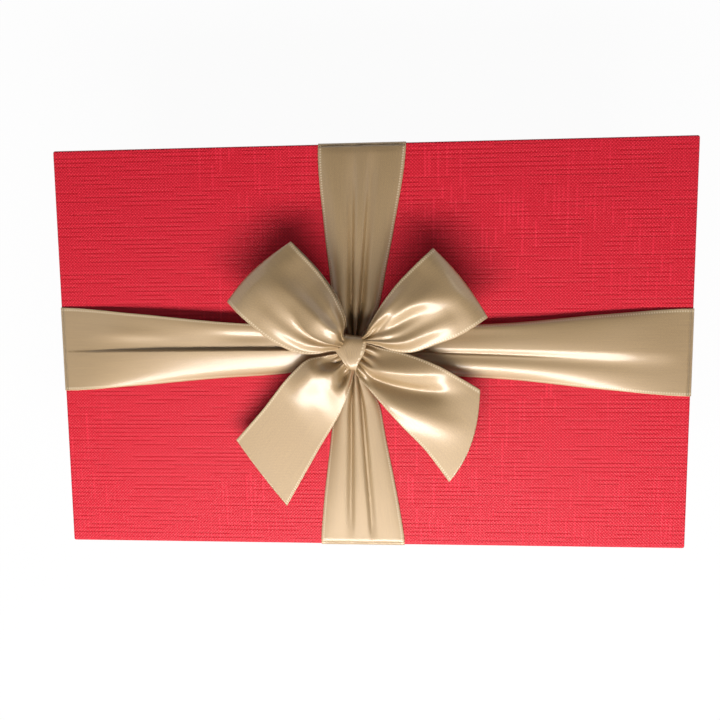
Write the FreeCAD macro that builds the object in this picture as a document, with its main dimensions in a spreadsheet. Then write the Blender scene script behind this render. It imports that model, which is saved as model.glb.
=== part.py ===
import FreeCAD, Part
import Sketcher
import math
import os

# A two-piece gift box: a board base, a lift-off lid, a ribbon cross fixed to the lid, and a bow.
# Millimetres. +Z is up, the box stands on z = 0, and the long side of the lid runs along X.

Vector = FreeCAD.Vector

# Driving dimensions: name, value, meaning
SIZES = [
    ("lid_length", 280, "lid over its paper, along X"),
    ("lid_width", 179, "lid over its paper, along Y"),
    ("lid_depth", 32, "lid from its top face to its rim"),
    ("closed_height", 85, "floor to the lid's top face, box closed"),
    ("board_thickness", 2, "greyboard of lid and base"),
    ("wrap_thickness", 0.3, "embossed outer paper with its glue"),
    ("liner_thickness", 0.3, "white inner paper with its glue"),
    ("fold_radius", 1, "outer radius of the paper over a board edge"),
    ("fit_gap", 1.4, "gap between the lid's inner faces and the base, each side"),
    ("turn_in", 18, "base paper turned in over the rim"),
    ("turn_under", 15, "base paper turned under the bottom"),
    ("corner_seam", 0.2, "slit where two board walls meet"),
    ("stay_thickness", 0.2, "kraft corner tape"),
    ("stay_leg", 14, "corner tape on each wall"),
    ("stay_inset", 2, "corner tape below the rim"),
    ("paper_gap", 0.2, "gap around the edge of a glued sheet"),
    ("ribbon_width", 38, "satin ribbon"),
    ("ribbon_thickness", 0.35, "satin ribbon"),
    ("ribbon_gap", 0.1, "gap between ribbon and paper"),
    ("tab_length", 16, "ribbon end turned up inside the lid"),
    ("tape_thickness", 0.2, "double-sided tape under each ribbon end"),
    ("tape_length", 32, "tape along the ribbon's width"),
    ("tape_height", 10, "tape up the lid wall"),
    ("tape_inset", 3, "tape above the lid's rim"),
    ("left_end_y", 0.9, "long band at the left lid edge"),
    ("right_end_y", -2, "long band at the right lid edge"),
    ("front_end_x", -3.3, "short band at the front lid edge"),
    ("back_end_x", -1.9, "short band at the back lid edge"),
    ("knot_x", -5, "knot"),
    ("knot_y", 0, "knot"),
    ("gather_width", 10, "each band where it passes under the knot"),
    ("gather_height", 2, "folds of each band under the knot"),
    ("fold_height", 3.5, "folds of each band beside the knot"),
    ("layer_gap", 0.2, "gap between gathered layers"),
    ("tie_thickness", 0.6, "ribbon of the tie, folded double"),
    ("tie_width", 4, "tie where it is drawn together"),
    ("knot_thickness", 0.6, "ribbon of the knot, folded double"),
    ("knot_width", 9.5, "knot along X"),
    ("knot_depth", 12.5, "knot along Y"),
    ("knot_bulge", 1, "swell of the knot at its middle"),
    ("root_width", 8, "loop or tail inside the knot"),
    ("root_height", 0.8, "folds of a loop or tail inside the knot"),
    ("root_start", 1.5, "loop or tail end from the knot's middle"),
    ("loop_reach", 55, "loop from the knot to its far bend, along its plan"),
    ("loop_height", 26, "top of a loop above the lid"),
    ("loop_floor", 7.6, "underside of a loop above the lid"),
    ("left_loop_heading", 129, "degrees from +X"),
    ("right_loop_heading", 41, "degrees from +X"),
    ("left_tail_reach", 72.5, "tail from the knot to its cut end, along its plan"),
    ("right_tail_reach", 61.5, "tail from the knot to its cut end, along its plan"),
    ("left_tail_heading", -120, "degrees from +X"),
    ("right_tail_heading", -46, "degrees from +X"),
    ("left_tail_cut", 20, "slant of the cut end in degrees"),
    ("right_tail_cut", -25, "slant of the cut end in degrees"),
    ("tail_crest", 10.5, "top of a tail above the lid"),
    ("left_tail_end", 3, "cut end above the lid"),
    ("right_tail_end", 6.5, "cut end above the lid, clear of the long band"),
]

# Counts of the pleats
BAND_FLANKS = 6
BOW_FLANKS = 4
# Share of each pleat flank taken by the round of a fold
FOLD_ROUND = 0.34
# Flat run of a ribbon end before the lid's edge, in fold radii
FLAT_RUN = 4
# Gathered run of a band past the width of the band that it crosses, in mm
CROSSING_RUN = 1.5
# Reach of the tie past the gathered bands, as a share of the ribbon's width
TIE_REACH = 0.21
# Swell of the knot half way to its edges, as a share of its swell in the middle
KNOT_SHOULDER = 0.75

doc = FreeCAD.newDocument("gift_box")
sheet = doc.addObject("Spreadsheet::Sheet", "sizes")
for row, (alias, number, meaning) in enumerate(SIZES, start=1):
    sheet.set(f"A{row}", alias)
    sheet.set(f"B{row}", str(number))
    sheet.set(f"C{row}", meaning)
    sheet.setAlias(f"B{row}", alias)
doc.recompute()


def size(alias):
    """A driving dimension as a number."""
    return float(sheet.get(alias))


def cell(expression):
    """An expression in which every driving dimension is read from the sheet."""
    for alias, _, _ in sorted(SIZES, key=lambda entry: -len(entry[0])):
        expression = expression.replace(f"<{alias}>", f"sizes.{alias}")
    return expression


# Levels and outlines that several pieces share, as expressions of the driving dimensions
LID_SKIN = "(<wrap_thickness> + <board_thickness> + <wrap_thickness>)"
LID_RIM = "(<closed_height> - <lid_depth>)"
LID_UNDER = "(<closed_height> - <wrap_thickness> - <board_thickness>)"
LID_BOARD_X = "(<lid_length> - 2 * <wrap_thickness>)"
LID_BOARD_Y = "(<lid_width> - 2 * <wrap_thickness>)"
LID_CLEAR_X = f"(<lid_length> - 2 * {LID_SKIN})"
LID_CLEAR_Y = f"(<lid_width> - 2 * {LID_SKIN})"
BASE_X = f"({LID_CLEAR_X} - 2 * <fit_gap>)"
BASE_Y = f"({LID_CLEAR_Y} - 2 * <fit_gap>)"
BASE_RIM = f"({LID_UNDER} - <liner_thickness>)"
BASE_BOARD_X = f"({BASE_X} - 2 * <wrap_thickness>)"
BASE_BOARD_Y = f"({BASE_Y} - 2 * <wrap_thickness>)"
BASE_BOARD_LOW = "(<liner_thickness> + <wrap_thickness>)"
BASE_FLOOR = f"({BASE_BOARD_LOW} + <board_thickness>)"
BASE_IN_X = f"({BASE_BOARD_X} - 2 * <board_thickness>)"
BASE_IN_Y = f"({BASE_BOARD_Y} - 2 * <board_thickness>)"


def bind(item, name, expression):
    """Ties one property of a document object to the sheet."""
    item.setExpression(name, cell(expression))


def rectangle(body, name, length, width, level):
    """A sketch of one rectangle, centred on the Z axis at the given level."""
    sketch = body.newObject("Sketcher::SketchObject", name)
    ground = [f for f in body.Origin.OriginFeatures if f.Role == "XY_Plane"][0]
    sketch.AttachmentSupport = [(ground, "")]
    sketch.MapMode = "FlatFace"
    bind(sketch, "AttachmentOffset.Base.z", level)
    corners = [Vector(-40, -20), Vector(40, -20), Vector(40, 20), Vector(-40, 20)]
    for start, end in zip(corners, corners[1:] + corners[:1]):
        sketch.addGeometry(Part.LineSegment(start, end), False)
    for line in range(4):
        sketch.addConstraint(Sketcher.Constraint("Coincident", line, 2, (line + 1) % 4, 1))
        sketch.addConstraint(Sketcher.Constraint("Vertical" if line % 2 else "Horizontal", line))
    sketch.addConstraint(Sketcher.Constraint("Symmetric", 0, 1, 1, 2, -1, 1))
    for axis, tag, line, expression in (("DistanceX", "length", 0, length), ("DistanceY", "width", 1, width)):
        index = sketch.addConstraint(Sketcher.Constraint(axis, line, 1, line, 2, 50))
        sketch.renameConstraint(index, tag)
        bind(sketch, f"Constraints.{tag}", expression)
    return sketch


def pad(body, name, length, width, low, high):
    """A block padded up from one rectangle."""
    feature = body.newObject("PartDesign::Pad", name)
    feature.Profile = rectangle(body, name + "_sketch", length, width, low)
    bind(feature, "Length", f"{high} - {low}")
    doc.recompute()
    return feature


def pocket(body, name, length, width, low, high):
    """A rectangular pocket cut upwards from one level to another."""
    before = body.Shape.Volume
    feature = body.newObject("PartDesign::Pocket", name)
    feature.Profile = rectangle(body, name + "_sketch", length, width, low)
    feature.Reversed = True
    bind(feature, "Length", f"{high} - {low}")
    doc.recompute()
    if not body.Shape.Volume < before:
        raise RuntimeError(f"{name} cuts nothing")
    return feature


def round_edges(body, name, radius, flat_end=None):
    """Rounds the four upright edges and, if named, those around the top or bottom face."""
    box = body.Shape.BoundBox
    ends = {"top": box.ZMax, "bottom": box.ZMin}
    chosen = []
    for number, edge in enumerate(body.Shape.Edges, start=1):
        upright = edge.BoundBox.ZLength > box.ZLength / 2
        around = flat_end and edge.BoundBox.Center.z == ends[flat_end]
        if upright or around:
            chosen.append(f"Edge{number}")
    sharp = body.Tip
    feature = body.newObject("PartDesign::Fillet", name)
    feature.Base = (sharp, chosen)
    bind(feature, "Radius", radius)
    doc.recompute()
    return feature


def block(name, x, y, z, low_x, low_y, low_z):
    """A box primitive from its sizes and its lowest corner."""
    item = doc.addObject("Part::Box", name)
    for prop, expression in (("Length", x), ("Width", y), ("Height", z)):
        bind(item, prop, expression)
    for axis, expression in (("x", low_x), ("y", low_y), ("z", low_z)):
        bind(item, f"Placement.Base.{axis}", expression)
    return item


def combine(kind, name, **links):
    """A boolean of document objects."""
    item = doc.addObject(kind, name)
    for link, target in links.items():
        setattr(item, link, target)
    doc.recompute()
    return item


def corner_set(name, board_x, board_y, leg, low, high, inward_x, inward_y):
    """Four boxes at the corners of a board outline, as one compound."""
    boxes = []
    for sx in (-1, 1):
        for sy in (-1, 1):
            low_x = f"{board_x} / 2 - {inward_x}" if sx > 0 else f"-{board_x} / 2 + {inward_x} - {leg[0]}"
            low_y = f"{board_y} / 2 - {inward_y}" if sy > 0 else f"-{board_y} / 2 + {inward_y} - {leg[1]}"
            tag = f"{name}_{'right' if sx > 0 else 'left'}_{'back' if sy > 0 else 'front'}"
            boxes.append(block(tag, leg[0], leg[1], f"{high} - {low}", low_x, low_y, low))
    return combine("Part::Compound", name, Links=boxes)


def board_tray(name, board_x, board_y, low, high, floor, closed_end):
    """A tray of greyboard: an outer block with rounded edges, pocketed from its open side to its floor."""
    body = doc.addObject("PartDesign::Body", name)
    pad(body, name + "_block", board_x, board_y, low, high)
    round_edges(body, name + "_edges", "<fold_radius> - <wrap_thickness>", closed_end)
    inner_x = f"({board_x} - 2 * <board_thickness>)"
    inner_y = f"({board_y} - 2 * <board_thickness>)"
    if closed_end == "top":
        pocket(body, name + "_hollow", inner_x, inner_y, low, floor)
    else:
        pocket(body, name + "_hollow", inner_x, inner_y, floor, high)
    return body


def corner_stays(name, board_x, board_y, low, high):
    """Four strips of kraft tape, each bent around one upright corner and pressed into the board."""
    blocks = []
    for tag, inset in (("outer", "0 * <stay_thickness>"), ("inner", "<stay_thickness>")):
        body = doc.addObject("PartDesign::Body", f"{name}_{tag}")
        pad(body, f"{name}_{tag}_block", f"{board_x} - 2 * {inset}", f"{board_y} - 2 * {inset}", low, high)
        round_edges(body, f"{name}_{tag}_edges", f"<fold_radius> - <wrap_thickness> - {inset}")
        blocks.append(body)
    ring = combine("Part::Cut", name + "_ring", Base=blocks[0], Tool=blocks[1])
    corners = corner_set(name + "_corners", board_x, board_y, ("<stay_leg>", "<stay_leg>"), low, high,
                         "<stay_leg>", "<stay_leg>")
    return combine("Part::Common", name, Base=ring, Tool=corners)


def cut_board(name, tray, stays, board_x, board_y, low, high):
    """The folded blank: a slit at each corner between the butted walls, and the bed of each corner tape."""
    slits = corner_set(name + "_slits", board_x, board_y, ("<board_thickness>", "<corner_seam>"), low, high,
                       "<board_thickness>", "<board_thickness> + <corner_seam>")
    tools = combine("Part::Compound", name + "_cuts", Links=[slits, stays])
    return combine("Part::Cut", name, Base=tray, Tool=tools)


def sheet_block(name, length, width, low, high):
    """A flat sheet of paper."""
    body = doc.addObject("PartDesign::Body", name)
    pad(body, name + "_pad", length, width, low, high)
    return body


# Lid
lid_low = f"({LID_RIM} + <wrap_thickness>)"
lid_high = "(<closed_height> - <wrap_thickness>)"
lid_tray = board_tray("lid_tray", LID_BOARD_X, LID_BOARD_Y, lid_low, lid_high, LID_UNDER, "top")
stay_high = f"({LID_UNDER} - <stay_inset>)"
lid_stays = corner_stays("lid_corner_stays", LID_BOARD_X, LID_BOARD_Y, f"({lid_low} + <stay_inset>)", stay_high)
lid_board = cut_board("lid_board", lid_tray, lid_stays, LID_BOARD_X, LID_BOARD_Y, lid_low, LID_UNDER)

lid_cover = doc.addObject("PartDesign::Body", "lid_cover")
pad(lid_cover, "lid_cover_block", "<lid_length>", "<lid_width>", LID_RIM, "<closed_height>")
round_edges(lid_cover, "lid_cover_edges", "<fold_radius>", "top")
pocket(lid_cover, "lid_cover_hollow", LID_CLEAR_X, LID_CLEAR_Y, LID_RIM, LID_UNDER)
lid_wrap = combine("Part::Cut", "lid_wrap", Base=lid_cover, Tool=lid_tray)

lid_liner = sheet_block("lid_liner", f"{LID_CLEAR_X} - 2 * <paper_gap>", f"{LID_CLEAR_Y} - 2 * <paper_gap>",
                        BASE_RIM, LID_UNDER)

# Base
base_high = f"({BASE_RIM} - <wrap_thickness>)"
base_tray = board_tray("base_tray", BASE_BOARD_X, BASE_BOARD_Y, BASE_BOARD_LOW, base_high, BASE_FLOOR, "bottom")
base_stays = corner_stays("base_corner_stays", BASE_BOARD_X, BASE_BOARD_Y,
                          f"({BASE_FLOOR} + <stay_inset>)", f"({base_high} - <stay_inset>)")
base_board = cut_board("base_board", base_tray, base_stays, BASE_BOARD_X, BASE_BOARD_Y, BASE_FLOOR, base_high)

base_cover = doc.addObject("PartDesign::Body", "base_cover")
pad(base_cover, "base_cover_block", BASE_X, BASE_Y, "<liner_thickness>", BASE_RIM)
round_edges(base_cover, "base_cover_edges", "<fold_radius>", "bottom")
pocket(base_cover, "base_cover_mouth", f"{BASE_IN_X} - 2 * <wrap_thickness>",
       f"{BASE_IN_Y} - 2 * <wrap_thickness>", BASE_FLOOR, BASE_RIM)
pocket(base_cover, "base_cover_hollow", BASE_IN_X, BASE_IN_Y, BASE_FLOOR, f"({BASE_RIM} - <turn_in>)")
pocket(base_cover, "base_cover_window", f"{BASE_X} - 2 * <turn_under>", f"{BASE_Y} - 2 * <turn_under>",
       "<liner_thickness>", BASE_BOARD_LOW)
base_wrap = combine("Part::Cut", "base_wrap", Base=base_cover, Tool=base_tray)

base_underside = sheet_block("base_underside_sheet", f"{BASE_X} - 4 * <fold_radius>",
                             f"{BASE_Y} - 4 * <fold_radius>", "0 * <liner_thickness>", "<liner_thickness>")

wall_liner_high = f"({BASE_RIM} - <turn_in> - <paper_gap>)"
base_wall_liner = doc.addObject("PartDesign::Body", "base_wall_liner")
pad(base_wall_liner, "base_wall_liner_block", BASE_IN_X, BASE_IN_Y, BASE_FLOOR, wall_liner_high)
pocket(base_wall_liner, "base_wall_liner_hollow", f"{BASE_IN_X} - 2 * <liner_thickness>",
       f"{BASE_IN_Y} - 2 * <liner_thickness>", BASE_FLOOR, wall_liner_high)

floor_edge = "2 * (<liner_thickness> + <paper_gap>)"
base_floor_liner = sheet_block("base_floor_liner", f"{BASE_IN_X} - {floor_edge}", f"{BASE_IN_Y} - {floor_edge}",
                               BASE_FLOOR, f"({BASE_FLOOR} + <liner_thickness>)")

# Ribbon


def unit(angle):
    """The flat direction at an angle from +X."""
    return Vector(math.cos(math.radians(angle)), math.sin(math.radians(angle)), 0)


def offset_run(points, radii, offset):
    """Lines and fold arcs beside a bent line of 2-D points, as point lists of two or three points each."""
    steps = [(b - a).normalize() for a, b in zip(points, points[1:])]
    normals = [Vector(-d.y, d.x, 0) for d in steps]
    run = []
    last = points[0] + normals[0] * offset
    for i in range(1, len(points) - 1):
        ahead, behind = steps[i], steps[i - 1]
        turn = math.atan2(behind.x * ahead.y - behind.y * ahead.x, behind.dot(ahead))
        miter = (normals[i - 1] + normals[i]) / (1 + normals[i - 1].dot(normals[i]))
        corner = points[i] + miter * offset
        side = math.copysign(1, turn)
        reach = radii[i - 1] * math.tan(abs(turn) / 2) - offset * side * math.tan(abs(turn) / 2)
        radius = reach / math.tan(abs(turn) / 2)
        bend_middle = corner + miter.normalize() * side * radius * (1 / math.cos(turn / 2) - 1)
        run.append([last, corner - behind * reach])
        run.append([corner - behind * reach, bend_middle, corner + ahead * reach])
        last = corner + ahead * reach
    run.append([last, points[-1] + normals[-1] * offset])
    return run


def strip_outline(points, radii, thickness):
    """The closed outline of a ribbon's edge, bent along 2-D points, as lines and arcs."""
    upper = offset_run(points, radii, thickness / 2)
    lower = [piece[::-1] for piece in offset_run(points, radii, -thickness / 2)[::-1]]
    return upper + [[upper[-1][-1], lower[0][0]]] + lower + [[lower[-1][-1], upper[0][0]]]


def pleats(width, height, flanks, thickness):
    """The outline across a ribbon gathered into pleats: a zigzag of equal flanks with rounded folds.

    The first flank rises; a height of zero is the flat ribbon, split at the same places.
    """
    pitch = width / flanks
    if height == 0:
        cuts = [-width / 2]
        for fold in range(1, flanks):
            middle = fold * pitch - width / 2
            cuts += [middle - FOLD_ROUND * pitch, middle + FOLD_ROUND * pitch]
        cuts.append(width / 2)
        top = [Vector(x, thickness / 2, 0) for x in cuts]
        low = [Vector(x, -thickness / 2, 0) for x in reversed(cuts)]
        ring = top + low
        return [[a, b] for a, b in zip(ring, ring[1:] + ring[:1])]
    points = [Vector(k * pitch - width / 2, height * (k % 2 - 0.5), 0) for k in range(flanks + 1)]
    slope = math.atan2(height, pitch)
    flank = pitch / math.cos(slope)
    radii = [FOLD_ROUND * flank / math.tan(slope)] * (flanks - 1)
    return strip_outline(points, radii, thickness)


def wire_in_space(outline, origin, across, up):
    """A closed wire from a 2-D outline, laid on two directions in space."""
    edges = []
    for piece in outline:
        spots = [origin + across * p.x + up * p.y for p in piece]
        if len(spots) == 3:
            edges.append(Part.Arc(*spots).toShape())
        else:
            edges.append(Part.makeLine(*spots))
    return Part.Wire(edges)


def keep_solid(name, shape):
    """Stores one shape as a document object."""
    item = doc.addObject("Part::Feature", name)
    item.Shape = shape
    item.Placement = FreeCAD.Placement()
    return item


RIBBON = size("ribbon_thickness")
TOP = size("closed_height")
RIM = TOP - size("lid_depth")
SKIN = 2 * size("wrap_thickness") + size("board_thickness")
KNOT = Vector(size("knot_x"), size("knot_y"), TOP)

# Levels above the lid's top face, from the tie under the bands to the loops in the knot
TIE_LOW = size("ribbon_gap")
SHORT_LOW = TIE_LOW + size("tie_thickness") + size("layer_gap")
LONG_LOW = SHORT_LOW + size("gather_height") + RIBBON + size("layer_gap")
TIE_HIGH = LONG_LOW + size("gather_height") + RIBBON + size("layer_gap") + size("tie_thickness")
KNOT_LOW = TIE_HIGH + size("ribbon_gap")
LAYER = size("root_height") + RIBBON + size("layer_gap")
TAIL_ROOT = KNOT_LOW + size("knot_thickness") + size("layer_gap") + (size("root_height") + RIBBON) / 2
UNDER_ROOT = TAIL_ROOT + LAYER
UPPER_ROOT = UNDER_ROOT + LAYER
KNOT_HIGH = UPPER_ROOT + LAYER - size("layer_gap") / 2 - size("root_height") / 2 + size("knot_thickness")

# A half band from the knot out: share of the way, width share regained, fold height share
HALF_BAND = [(0.16, 0.20, 0.94), (0.30, 0.42, 1.0), (0.48, 0.64, 0.8), (0.70, 0.84, 0.5), (0.88, 0.96, 0.2)]
# Share of the lift under the knot that is left at each of those places
BAND_LIFT = [0.25, 0, 0, 0, 0]


def band_end(centre, outward, lid_half):
    """A flat ribbon end: over the lid's edge, down the wall, under the rim and up inside."""
    gap = size("ribbon_gap") + RIBBON / 2
    tape = size("tape_thickness") + RIBBON / 2
    run = size("fold_radius") * FLAT_RUN
    line = [Vector(lid_half - run, TOP + gap), Vector(lid_half + gap, TOP + gap),
            Vector(lid_half + gap, RIM - gap), Vector(lid_half - SKIN - tape, RIM - gap),
            Vector(lid_half - SKIN - tape, RIM + size("tab_length"))]
    radii = [size("fold_radius") + gap, gap, tape]
    up = Vector(0, 0, 1)
    side = up.cross(outward)
    wire = wire_in_space(strip_outline(line, radii, RIBBON), centre - side * size("ribbon_width") / 2, outward, up)
    return Part.Face(wire).extrude(side * size("ribbon_width")), lid_half - run


def ribbon_band(name, outward, ends, lid_half, low):
    """One ribbon over the lid: flat ends, and pleats that gather it towards the knot."""
    up = Vector(0, 0, 1)
    side = up.cross(outward)
    rest = size("ribbon_gap")
    knot_along = Vector(KNOT.x, KNOT.y, 0).dot(outward)
    knot_across = Vector(KNOT.x, KNOT.y, 0).dot(side)
    crossing = size("gather_width") / 2 + CROSSING_RUN
    solids = []
    wires = []
    for sign in (-1, 1):
        shift = ends[sign]
        end, edge = band_end(side * shift, outward * sign, lid_half)
        solids.append(end)
        half = edge - sign * knot_along
        flat = pleats(size("ribbon_width"), 0, BAND_FLANKS, RIBBON)
        stations = [(edge, shift, rest + RIBBON / 2, flat)]
        for (share, gain, fold), lift in zip(reversed(HALF_BAND), reversed(BAND_LIFT)):
            width = size("gather_width") + gain * (size("ribbon_width") - size("gather_width"))
            height = fold * size("fold_height")
            across = knot_across + (shift - knot_across) * share
            middle = rest + lift * (low - rest) + height / 2 + RIBBON / 2
            stations.append((share * half + sign * knot_along, across, middle,
                             pleats(width, height, BAND_FLANKS, RIBBON)))
        gathered = pleats(size("gather_width"), size("gather_height"), BAND_FLANKS, RIBBON)
        middle = low + (size("gather_height") + RIBBON) / 2
        stations.append((crossing + sign * knot_along, knot_across, middle, gathered))
        row = [wire_in_space(outline, outward * sign * along + side * across + up * (TOP + height), side, up)
               for along, across, height, outline in stations]
        wires += row if sign < 0 else row[::-1]
    solids.append(Part.makeLoft(wires, True, True))
    return keep_solid(name, solids[0].fuse(solids[1:]).removeSplitter())


along_x = Vector(1, 0, 0)
along_y = Vector(0, 1, 0)
long_band = ribbon_band("long_ribbon_band", along_x, {-1: size("left_end_y"), 1: size("right_end_y")},
                        size("lid_length") / 2, LONG_LOW)
short_band = ribbon_band("short_ribbon_band", along_y, {-1: -size("front_end_x"), 1: -size("back_end_x")},
                         size("lid_width") / 2, SHORT_LOW)

# Tape under each ribbon end, inside the lid
tape_low = f"({LID_RIM} + <tape_inset>)"
inner_x = f"({LID_CLEAR_X} / 2)"
inner_y = f"({LID_CLEAR_Y} / 2)"
tapes = [
    block("tape_left", "<tape_thickness>", "<tape_length>", "<tape_height>",
          f"-{inner_x}", "<left_end_y> - <tape_length> / 2", tape_low),
    block("tape_right", "<tape_thickness>", "<tape_length>", "<tape_height>",
          f"{inner_x} - <tape_thickness>", "<right_end_y> - <tape_length> / 2", tape_low),
    block("tape_front", "<tape_length>", "<tape_thickness>", "<tape_height>",
          "<front_end_x> - <tape_length> / 2", f"-{inner_y}", tape_low),
    block("tape_back", "<tape_length>", "<tape_thickness>", "<tape_height>",
          "<back_end_x> - <tape_length> / 2", f"{inner_y} - <tape_thickness>", tape_low),
]
end_tapes = combine("Part::Compound", "ribbon_end_tapes", Links=tapes)


def rounded_ring(half_x, low, high, radius, thickness):
    """A closed hoop of ribbon seen end on: a rounded rectangle and the same moved inwards."""
    outlines = []
    for inset in (0, thickness):
        x = half_x - inset
        z0 = low + inset
        z1 = high - inset
        r = radius - inset
        k = r * (1 - math.sqrt(0.5))
        outlines.append([
            [Vector(-x + r, z0), Vector(x - r, z0)], [Vector(x - r, z0), Vector(x - k, z0 + k), Vector(x, z0 + r)],
            [Vector(x, z0 + r), Vector(x, z1 - r)], [Vector(x, z1 - r), Vector(x - k, z1 - k), Vector(x - r, z1)],
            [Vector(x - r, z1), Vector(-x + r, z1)], [Vector(-x + r, z1), Vector(-x + k, z1 - k), Vector(-x, z1 - r)],
            [Vector(-x, z1 - r), Vector(-x, z0 + r)], [Vector(-x, z0 + r), Vector(-x + k, z0 + k), Vector(-x + r, z0)],
        ])
    return outlines


def hoop(name, axis, across, half, low, high, thickness, places):
    """A hoop of ribbon lofted along its axis: each place is a distance along the axis and a swell."""
    up = Vector(0, 0, 1)
    shells = []
    for number in (0, 1):
        wires = []
        for along, swell in places:
            radius = (high - low) / 2 - thickness / 2
            outline = rounded_ring(half + swell, low, high + swell, radius, thickness)[number]
            wires.append(wire_in_space(outline, KNOT + axis * along, across, up))
        shells.append(Part.makeLoft(wires, True, True))
    return keep_solid(name, shells[0].cut(shells[1]))


tie_axis = unit(45)
tie_half = size("tie_width") / 2
tie_reach = size("gather_width") / 2 + TIE_REACH * size("ribbon_width")
tie = hoop("ribbon_tie", tie_axis, unit(-45), tie_reach, TIE_LOW, TIE_HIGH, size("tie_thickness"),
           [(-tie_half, 0), (tie_half, 0)])
knot_half = size("knot_width") / 2
bulge = size("knot_bulge")
knot = hoop("bow_knot", along_x, along_y, size("knot_depth") / 2, KNOT_LOW, KNOT_HIGH, size("knot_thickness"),
            [(-knot_half, 0), (-knot_half / 2, bulge * KNOT_SHOULDER), (0, bulge),
             (knot_half / 2, bulge * KNOT_SHOULDER), (knot_half, 0)])

# Run of the turn from the knot's axis to a loop's or tail's own heading, in mm, and the steps that draw it
STRAIGHT_RUN = 4
TURN_RUN = 10
PATH_STEPS = 240


def plan_path(side, heading, reach):
    """Points and headings of a flat path that leaves the knot along X and turns smoothly to its heading."""
    start = 180 if side < 0 else 0
    turn = (heading - start + 180) % 360 - 180
    spot = KNOT + Vector(side * size("root_start"), 0, 0)
    step = (reach - size("root_start")) / PATH_STEPS
    rows = [(spot, start)]
    for number in range(1, PATH_STEPS + 1):
        way = min(max((number * step - STRAIGHT_RUN) / TURN_RUN, 0), 1)
        angle = start + turn * way * way * (3 - 2 * way)
        spot = spot + unit(angle) * step
        rows.append((spot, angle))
    return rows


def place_on(path, share):
    """The point and heading at a share of a path."""
    return path[round(share * (len(path) - 1))]


# A loop's two layers from the knot out: share of the reach, share of the width regained, fold height, rise share
LOOP_UPPER = [(0.0, 0.0, 0.8, 0.0), (0.11, 0.03, 0.8, 0.02), (0.24, 0.26, 2.0, 0.30), (0.38, 0.56, 2.6, 0.64),
              (0.56, 0.82, 2.4, 0.93), (0.74, 0.95, 1.4, 1.0), (0.90, 1.0, 0.6, 0.80)]
LOOP_UNDER = [(0.80, 0.97, 0.9, 0.05), (0.56, 0.82, 1.2, 0.8), (0.38, 0.54, 1.0, 2.0),
              (0.25, 0.24, 0.8, 1.5), (0.11, 0.03, 0.8, 1.0), (0.0, 0.0, 0.8, 1.0)]
# The far bend: rise share of its middle and of the place under it, share of the reach there, fold heights
BEND_RISE = 0.52
BEND_UNDER_RISE = 0.42
BEND_UNDER_SHARE = 0.93
BEND_FOLD = 0.4
BEND_UNDER_FOLD = 0.5


def loop_width(gain):
    """A loop's or tail's width once a share of the gathering has opened out."""
    return size("root_width") + gain * (size("ribbon_width") - size("root_width"))


def bow_loop(name, side, heading):
    """One loop of the bow: out from the knot, round the far bend and back beneath."""
    path = plan_path(side, heading, size("loop_reach"))
    crest = size("loop_height") - UPPER_ROOT
    sag = UNDER_ROOT - size("loop_floor")
    spots = []
    for share, gain, fold, rise in LOOP_UPPER:
        spot, angle = place_on(path, share)
        spots.append((spot + Vector(0, 0, UPPER_ROOT + rise * crest), angle, loop_width(gain), fold))
    bend = BEND_RISE * (size("loop_height") - size("loop_floor"))
    for share, fold, rise in ((1.0, BEND_FOLD, 1.0), (BEND_UNDER_SHARE, BEND_UNDER_FOLD, BEND_UNDER_RISE)):
        spot, angle = place_on(path, share)
        spots.append((spot + Vector(0, 0, size("loop_floor") + rise * bend), angle, size("ribbon_width"), fold))
    for share, gain, fold, rise in LOOP_UNDER:
        spot, angle = place_on(path, share)
        spots.append((spot + Vector(0, 0, size("loop_floor") + rise * sag), angle, loop_width(gain), fold))
    return keep_solid(name, loft_ribbon(spots))


def loft_ribbon(spots, slants=None):
    """A pleated ribbon lofted through places along its length, each square to the run there."""
    wires = []
    for number, (spot, angle, width, fold) in enumerate(spots):
        before = spots[max(number - 1, 0)][0]
        after = spots[min(number + 1, len(spots) - 1)][0]
        across = unit(angle + 90)
        run = (after - before).normalize()
        up = run.cross(across)
        if slants:
            across = across + unit(angle) * math.tan(math.radians(slants[number]))
        wires.append(wire_in_space(pleats(width, fold, BOW_FLANKS, RIBBON), spot, across, up))
    return Part.makeLoft(wires, True, True)


# A tail from the knot out: share of the reach, share of the width regained, fold height, slant share
TAIL = [(0.0, 0.0, 0.8, 0), (0.09, 0.03, 0.8, 0), (0.18, 0.18, 1.0, 0), (0.31, 0.48, 2.0, 0),
        (0.48, 0.75, 2.0, 0.1), (0.68, 0.92, 1.4, 0.4), (0.86, 1.0, 0.8, 0.75), (1.0, 1.0, 0.5, 1.0)]
TAIL_RISE = [0, 0, 0, 0.2, 1.0, 0.75, 0.3, 0.0]


def bow_tail(name, side, heading, reach, cut, end_level):
    """One tail of the bow, from the knot to its slanted cut end."""
    path = plan_path(side, heading, reach)
    spots = []
    slants = []
    for number, ((share, gain, fold, slant), rise) in enumerate(zip(TAIL, TAIL_RISE)):
        low = TAIL_ROOT if number < 5 else end_level
        spot, angle = place_on(path, share)
        level = low + rise * (size("tail_crest") - low)
        spots.append((spot + Vector(0, 0, level), angle, loop_width(gain), fold))
        slants.append(slant * cut)
    return keep_solid(name, loft_ribbon(spots, slants))


left_loop = bow_loop("bow_left_loop", -1, size("left_loop_heading"))
right_loop = bow_loop("bow_right_loop", 1, size("right_loop_heading"))
left_tail = bow_tail("bow_left_tail", -1, size("left_tail_heading"), size("left_tail_reach"),
                     size("left_tail_cut"), size("left_tail_end"))
right_tail = bow_tail("bow_right_tail", 1, size("right_tail_heading"), size("right_tail_reach"),
                      size("right_tail_cut"), size("right_tail_end"))

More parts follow.
